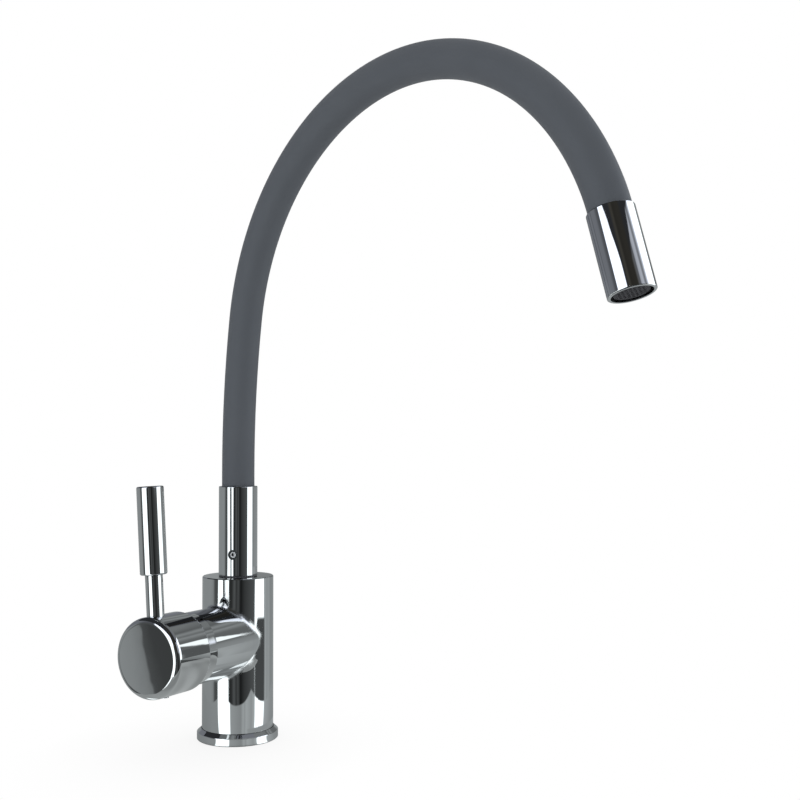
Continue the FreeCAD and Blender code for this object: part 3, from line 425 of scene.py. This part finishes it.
deselect()
bpy.ops.mesh.primitive_cylinder_add(vertices=DRUM_SIDES, radius=DRUM_RADIUS, depth=DRUM_HEIGHT,
                                    end_fill_type="TRIFAN",
                                    location=(0, 0, DRUM_HEIGHT / 2 + DRUM_LIFT))
drum = bpy.context.object
drum.name = "card_drum"
bpy.ops.object.transform_apply(location=True, rotation=True, scale=True)
drum.data.materials.append(emit("cards", cards))
reflections_only(drum)
print("drum", tuple(drum.dimensions))

# %% [markdown]
# ### A card under the handle
# The cap's underside looks steeply down, where a varnished table would show it no panel but a
# plain grey. The drum's floor can't tell a steep look from a flat one, so a small grey card
# hangs there, just under the handle: the column's white stripes pass below it.

# %% Card under the handle
CARD_AHEAD, CARD_ASIDE, CARD_HEIGHT, CARD_SIZE = 0.070, 0.0025, 0.040, (0.060, 0.125)
STREAK_SCALE, STREAK_STRETCH, STREAK_EDGE = 60, (1, 0.25, 1), (0.3, 0.7)
CARD_TONE, STREAK_TONE, CARD_TINT = 0.33, 0.24, (0.95, 1.0, 1.0, 1)


def varnish(wire):
    """Plain grey, lighter in soft streaks."""
    streak = noise(coordinates(wire, STREAK_STRETCH, (0, 0, -FACING)), STREAK_SCALE, detail=1.0)
    return CARD_TONE + streak.between(*STREAK_EDGE) * STREAK_TONE, CARD_TINT


deselect()
bpy.ops.mesh.primitive_grid_add(x_subdivisions=6, y_subdivisions=12, size=1)
card = bpy.context.object
card.name = "handle_card"
card.scale = (*CARD_SIZE, 1)
card.rotation_euler = (0, 0, FACING)
card.location = (*turned(CARD_AHEAD, CARD_ASIDE, -FACING), CARD_HEIGHT)
bpy.ops.object.transform_apply(location=True, rotation=True, scale=True)
card.data.materials.append(emit("handle_card", varnish))
reflections_only(card)
print("card", tuple(card.dimensions))

# %% [markdown]
# ## Lamps
# Two large soft panels stand where the white cards are, and one hangs overhead. They light
# the matt hose, at a level where a colour comes out about as it is written. They are hidden
# from reflections, since the cards already stand for them there.

# %% Lamps
MIDDLE = Vector((0.1, 0, 0.22))
LAMPS = {"left_panel": dict(bearing=-50, distance=1.5, height=0.75, size=0.9, power=5.0),
         "right_panel": dict(bearing=72, distance=1.6, height=0.7, size=0.9, power=4.0),
         "overhead": dict(bearing=0, distance=0.3, height=1.7, size=1.0, power=5.0)}


def lamp(name, bearing, distance, height, size, power):
    """A square panel at a bearing from the camera's side, aimed at the middle of the tap."""
    light = bpy.data.lights.new(name, "AREA")
    light.shape, light.size, light.energy = "SQUARE", size, power
    panel = bpy.data.objects.new(name, light)
    scene.collection.objects.link(panel)
    turn = FACING + radians(bearing)
    panel.location = (distance * cos(turn), distance * sin(turn), height)
    aim = MIDDLE - panel.location
    panel.rotation_euler = aim.to_track_quat("-Z", "Y").to_euler()
    panel.visible_glossy = False
    return panel


lamps = [lamp(name, **sizes) for name, sizes in LAMPS.items()]
print("lamps:", [panel.name for panel in lamps])

# %% [markdown]
# ## Finishes
# A finish is a function that works out a colour, a roughness and a bump, and it is turned into
# a material here. What stays the same all over a piece goes on the shader's own sockets.

# %% Finishes as materials
FINISHES = {}


def add_finish(name, build, **constants):
    """Files a material: build returns its colour, roughness and bump; constants are sockets."""
    material = bpy.data.materials.new(name)
    wire = begin(material)
    colour, rough, bump = build(wire)
    sockets = {"Base Color": colour, "Roughness": rough, "Normal": bump}
    sockets.update({key.replace("_", " "): value for key, value in constants.items()})
    shader = wire.node("BsdfPrincipled", sockets)
    wire.node("OutputMaterial", {"Surface": shader})
    FINISHES[name] = material
    print("finish", name)


def relief(height, depth, under=None):
    """A bump of this depth in metres, over another bump where one is given."""
    sockets = {"Height": height, "Strength": 1.0, "Distance": depth}
    if under:
        sockets["Normal"] = under
    return height.node("Bump", sockets)


print("finishes so far:", list(FINISHES))

# %% [markdown]
# ### Chrome
# Chrome plate is a mirror a little darker than silver. On a cast and polished body it is not
# quite even: slow waves from the buffing wheel bend the reflections, and wiped patches are
# slightly less sharp. Pure mirror with no wave looks computed, so both are here, very faint.
# The recess of the sleeve's screw and every narrow gap are darkened with painted shade, from
# ambient occlusion and a mask round the screw.
#
# Where the branch grows out of the column, the casting has a rounded joint and the solid a
# sharp one. Rounding the mesh would move a piece that has to stay as it is, so the column's
# own finish bends the normal there, as a rounding of 4 mm would.

# %% Chrome
SCREW_TURN, SCREW_HEIGHT, SCREW_RECESS = radians(-50), 0.1138, 0.0030
RECESS_SOFT, OUTER_SIDE = 0.0001, (0, 0.001)
FILLET, JOINT_EDGE, JOINT_HEIGHTS = 0.0040, (0.030, 0.033), (0.030, 0.090, 0.004)
WAVE_SCALE, WAVE_DEPTH, GRAIN_SCALE = 75, 0.00003, 5200
WIPE_SCALE, WIPE_STRETCH, WIPE_EDGE = 160, (1, 1, 0.35), (0.45, 0.75)
GAP, GAP_EDGE = 0.003, (0.15, 0.75)
# The darkest tint is painted shade, for narrow gaps and the screw's recess.
PLAIN_TINT, WIPED_TINT, PAINTED_SHADE = (0.985, 1.0, 1.01), (0.955, 0.97, 0.985), (0.03, 0.033, 0.034)
MIRROR_ROUGH, WIPE_ROUGH, GRAIN_ROUGH, GAP_ROUGH = 0.014, 0.02, 0.006, 0.25


def screw_recess_shade(place):
    """1 inside the recess round the sleeve's screw, where the chrome gets painted shade."""
    x, y, height = split(place)
    outwards, across = turned(x, y, SCREW_TURN)
    from_axis = (across ** 2 + (height - SCREW_HEIGHT) ** 2) ** 0.5
    inside = 1 - from_axis.between(SCREW_RECESS, SCREW_RECESS + RECESS_SOFT)
    return inside * outwards.between(*OUTER_SIDE)


def soft_joint(place):
    """The normal, rounded where the branch grows out of the column, as in a casting."""
    x, y, height = split(place)
    near = (1 - ((x ** 2 + y ** 2) ** 0.5).between(*JOINT_EDGE)) * within(height, *JOINT_HEIGHTS)
    plain = place.node("NewGeometry", output="Normal")
    rounded = place.node("Bevel", {"Radius": FILLET}, samples=8)
    return near.mix(plain, rounded, kind="VECTOR")


def chrome(tone, cast=False):
    """Chrome of a tone. That of the casting has its soft joint as well."""
    def build(wire):
        place = coordinates(wire)
        under = soft_joint(place) if cast else None
        waves = noise(place, WAVE_SCALE, detail=1.0)
        smears = noise(coordinates(wire, WIPE_STRETCH), WIPE_SCALE, detail=3.0)
        wiped = smears.between(*WIPE_EDGE)
        grain = noise(place, GRAIN_SCALE)
        # Painted shade: narrow gaps found by ambient occlusion, and the screw's recess, are
        # darkened and made rougher.
        open_air = place.node("AmbientOcclusion", {"Distance": GAP}, output="AO", samples=6)
        unshaded = open_air.between(*GAP_EDGE) * (1 - screw_recess_shade(place))
        plated = [[tone * share for share in tint] for tint in (PLAIN_TINT, WIPED_TINT)]
        colour = unshaded.tint(PAINTED_SHADE, wiped.tint(*plated))
        rough = MIRROR_ROUGH + wiped * WIPE_ROUGH + grain * GRAIN_ROUGH + (1 - unshaded) * GAP_ROUGH
        return colour, rough, relief(waves, WAVE_DEPTH, under)
    return build


add_finish("cast_chrome", chrome(tone=0.57, cast=True), Metallic=1.0)
add_finish("chrome", chrome(tone=0.57), Metallic=1.0)
add_finish("handle_chrome", chrome(tone=0.56), Metallic=1.0)

# %% [markdown]
# ### Turned metal
# The nipple, the ferrules, the links, the screws and the cartridge's nut and spindle come off
# a lathe and are not plated. The tool leaves fine rings round the upright ones, so a noise is
# squeezed along Z and left long across it. The links and the screws lie at all angles, so
# theirs is squeezed less or not at all.

# %% Turned metal
RING_DEPTH, STAIN_SCALE, STAIN_EDGE = 0.00002, 120, (0.4, 0.8)
LATHE_ROUGH, RING_ROUGH, STAIN_ROUGH = 0.22, 0.16, 0.08


def lathe(light, dark, squeeze):
    """Bare metal with tool rings; squeeze is the noise's scale along x, y and z."""
    def build(wire):
        rings = noise(coordinates(wire, squeeze), scale=1.0)
        stain = noise(coordinates(wire), STAIN_SCALE, detail=3.0).between(*STAIN_EDGE)
        rough = LATHE_ROUGH + rings * RING_ROUGH + stain * STAIN_ROUGH
        return (stain * 0.6 + rings * 0.4).tint(light, dark), rough, relief(rings, RING_DEPTH)
    return build


add_finish("brass", lathe((0.80, 0.60, 0.30), (0.62, 0.44, 0.20), squeeze=(40, 40, 3200)),
           Metallic=1.0)
add_finish("arm_metal", lathe((0.70, 0.71, 0.72), (0.55, 0.56, 0.58), squeeze=(300, 300, 900)),
           Metallic=1.0)
add_finish("screw_steel", lathe((0.46, 0.46, 0.47), (0.30, 0.30, 0.31), squeeze=(900, 900, 900)),
           Metallic=1.0)

# %% [markdown]
# ### Plastic, ceramic and rubber
# Moulded pieces differ in grain and in how they shine: the cartridge is dull off-white, its
# discs are lapped ceramic, seals are dark and matt, and the aerator is a dark grey moulding.

# %% Moulded finishes
CLOUD_SCALE, FLOW_SCALE, FLOW_STRETCH, FLOW_EDGE = 140, 60, (1, 1, 6), (0.5, 0.75)
GRAIN_MATT, FLOW_SHINE = 0.1, 0.05


def moulded(light, dark, rough, grain_scale, depth):
    """A moulding: cloudy tone, fine grain, and a flow mark here and there."""
    def build(wire):
        place = coordinates(wire)
        cloud = noise(place, CLOUD_SCALE, detail=3.0)
        grain = noise(place, grain_scale, detail=3.0)
        flow = noise(coordinates(wire, FLOW_STRETCH), FLOW_SCALE).between(*FLOW_EDGE)
        mixed = cloud * 0.5 + grain * 0.3 + flow * 0.2
        matt = rough + grain * GRAIN_MATT - flow * FLOW_SHINE
        return mixed.tint(light, dark), matt, relief(grain, depth)
    return build


add_finish("cartridge_plastic", moulded((0.78, 0.78, 0.75), (0.66, 0.66, 0.63),
                                        rough=0.42, grain_scale=1800, depth=0.00003))
add_finish("tube_plastic", moulded((0.82, 0.83, 0.81), (0.70, 0.71, 0.69),
                                   rough=0.36, grain_scale=1500, depth=0.00002))
add_finish("ceramic", moulded((0.86, 0.85, 0.81), (0.78, 0.76, 0.71),
                              rough=0.10, grain_scale=4200, depth=0.000004))
add_finish("black_rubber", moulded((0.028, 0.028, 0.030), (0.016, 0.016, 0.018),
                                   rough=0.62, grain_scale=2600, depth=0.00004))
add_finish("washer_plastic", moulded((0.12, 0.12, 0.13), (0.08, 0.08, 0.09),
                                     rough=0.45, grain_scale=2000, depth=0.00003))
add_finish("aerator_plastic", moulded((0.056, 0.056, 0.062), (0.044, 0.044, 0.049),
                                      rough=0.62, grain_scale=2400, depth=0.00002),
           Specular_IOR_Level=0.2)

# %% [markdown]
# ### Silicone
# The hose cover is extruded silicone: slate grey, dead matt, with a velvet bloom at grazing
# angles. Close up it has a fine leathery skin with small pores.

# %% Silicone
SLATE, PALE_SLATE, SLOW_CLOUD = (0.074, 0.083, 0.096), (0.094, 0.103, 0.117), 45
SKIN_SCALE, SKIN_DEPTH = 2600, 0.00003
PORE_SCALE, PORE_EDGE, PORE_DEPTH = 900, (0.55, 0.8), 0.00002
SILICONE_ROUGH, SKIN_MATT, PORE_SHINE = 0.58, 0.12, 0.04


def silicone(wire):
    """Slate grey skin with pores, in slow clouds of tone."""
    place = coordinates(wire)
    cloud = noise(place, SLOW_CLOUD, detail=3.0)
    skin = noise(place, SKIN_SCALE, detail=4.0)
    pores = noise(place, PORE_SCALE).between(*PORE_EDGE)
    colour = (cloud * 0.6 + skin * 0.4).tint(SLATE, PALE_SLATE)
    bump = relief(pores, PORE_DEPTH, relief(skin, SKIN_DEPTH))
    return colour, SILICONE_ROUGH + skin * SKIN_MATT - pores * PORE_SHINE, bump


add_finish("silicone", silicone, IOR=1.41, Sheen_Weight=0.12, Sheen_Roughness=0.4)

# %% [markdown]
# ## Dressing the solids
# Each solid already carries the name of its finish, so its slot is filled from the table. Only
# the column takes another one: its own chrome, with the soft joint.

# %% Dress the solids
OWN_FINISH = {"column_body": "cast_chrome"}

for name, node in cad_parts.items():
    for slot in node.material_slots:
        slot.material = FINISHES[OWN_FINISH.get(name, slot.material.name)]
print("dressed:", len(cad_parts))

# %% [markdown]
# ## The hose
# The cover bends with the arm inside it, at four places. One rigid solid can't do that. Here it
# is drawn again as four lengths, one over each bend, which meet halfway between two bends. The
# water tube inside it is drawn the same way.
#
# The hose stands straight for a bit and then follows six arcs, each given as a radius and an
# angle. A bend lies at the end of each of the first four arcs, and two lengths meet in the
# middle of the second, the third and the fourth.

# %% The line that the hose follows
HOSE_START = Vector((0, 0, 0.134))
STRAIGHT = 0.0317
ARCS = ((0.570, 9.5), (0.145, 37.1), (0.152, 37.1), (0.148, 35.9), (0.142, 37.5), (0.106, 6.2))


def ahead_of(angle):
    """The way on, for a line that has turned this far from straight up."""
    return Vector((sin(angle), 0, cos(angle)))


def right_of(angle):
    """The way to the right of that line, where the centres of its arcs lie."""
    return Vector((cos(angle), 0, -sin(angle)))


def walk(place, angle, runs):
    """The place and angle after some runs, each (radius, degrees) or (None, metres)."""
    for radius, amount in runs:
        if radius is None:
            place = place + ahead_of(angle) * amount
        else:
            turn = radians(amount)
            centre = place + right_of(angle) * radius
            place = centre - right_of(angle + turn) * radius
            angle += turn
    return place, angle


(A, B, C, D, E, F) = ARCS
half_b, half_c, half_d = ((radius, angle / 2) for radius, angle in (B, C, D))
LENGTHS = [("spout_foot", "arm_1", [(None, STRAIGHT), A], [half_b]),
           ("arm_1", "arm_2", [half_b], [half_c]),
           ("arm_2", "arm_3", [half_c], [half_d]),
           ("arm_3", "spray_head", [half_d], [E, F])]
end, _ = walk(HOSE_START, 0.0, [(None, STRAIGHT), *ARCS])
print("hose ends at", tuple(round(v, 4) for v in end))

# %% [markdown]
# ### A length of tube
# A curve with a bevel would do, but its rings turn unevenly. A ring of points that is drawn
# straight on and spun about each arc's own centre is exact, and is how a pipe bender works.
# The wall then grows inwards, so the outside keeps its size.

# %% Spin a length of tube
SIDES = 72
ARC_STEP, RUN_STEP = 1.25, 0.006
SEAM, SMOOTH_BELOW = 1e-6, radians(35)


def tube(name, radius, wall, place, angle, runs):
    """A tube with its wall inwards, from a ring that is drawn straight and spun round arcs."""
    deselect()
    bpy.ops.mesh.primitive_circle_add(vertices=SIDES, radius=radius, location=place,
                                      rotation=(0, angle, 0))
    made = bpy.context.object
    made.name = name
    bpy.ops.object.transform_apply(location=True, rotation=True, scale=True)
    bpy.ops.object.mode_set(mode="EDIT")
    for bend, amount in runs:
        if bend is None:
            steps = max(1, round(amount / RUN_STEP))
            move = ahead_of(angle) * (amount / steps)
            for _ in range(steps):
                bpy.ops.mesh.extrude_region_move(TRANSFORM_OT_translate={"value": move})
        else:
            steps = max(1, round(amount / ARC_STEP))
            centre = place + right_of(angle) * bend
            bpy.ops.mesh.spin(steps=steps, angle=radians(amount), center=centre, axis=(0, -1, 0))
        place, angle = walk(place, angle, [(bend, amount)])
    bpy.ops.mesh.select_all(action="SELECT")
    bpy.ops.mesh.remove_doubles(threshold=SEAM)
    bpy.ops.mesh.normals_make_consistent(inside=False)
    bpy.ops.object.mode_set(mode="OBJECT")
    solid = made.modifiers.new("wall", "SOLIDIFY")
    solid.thickness, solid.offset, solid.use_even_offset = wall, -1, True
    bpy.ops.object.modifier_apply(modifier="wall")
    bpy.ops.object.shade_smooth_by_angle(angle=SMOOTH_BELOW)
    return made


print("rings of", SIDES, "points, one every", ARC_STEP, "degrees")

# %% [markdown]
# ### Cover and tube
# Each length lies over one bend, between the two links that meet there. A reach of 30 mm to each
# side of the bend is worked out, but nothing is blended over it. The lift is the small gap over
# the lower ferrule, and at the top the last length goes on into the spray head.

# %% Cover and water tube
BEND_REACH = 0.030
COVER = dict(radius=0.0101, wall=0.0023, lift=0.0003, inside=0.0112)
WATER_TUBE = dict(radius=0.0033, wall=0.001, lift=0.00005, inside=0.018)


def draw(base, finish, node, radius, wall, lift, inside):
    """Four lengths, each over its bend. They start this lift above the hose's start, and
    end this far inside the head."""
    place, angle = HOSE_START + Vector((0, 0, lift)), 0.0
    for number, (below, above, before, after) in enumerate(LENGTHS, start=1):
        if number == 1:
            before = [(None, STRAIGHT - lift), *before[1:]]
        if number == len(LENGTHS):
            after = [*after, (None, inside)]
        length = tube(f"{base}_{number}", radius, wall, place, angle, before + after)
        bend, lean = walk(place, angle, before)
        place, angle = walk(bend, lean, after)
        print(length.name, "faces", len(length.data.polygons), "bend", tuple(bend))
        length.data.materials.append(FINISHES[finish])
        reach = ahead_of(lean) * BEND_REACH
        bend - reach
        bend + reach
        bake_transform(length)
        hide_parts(node)


draw("cover", "silicone", "hose_cover", **COVER)
draw("tube", "tube_plastic", "water_tube", **WATER_TUBE)
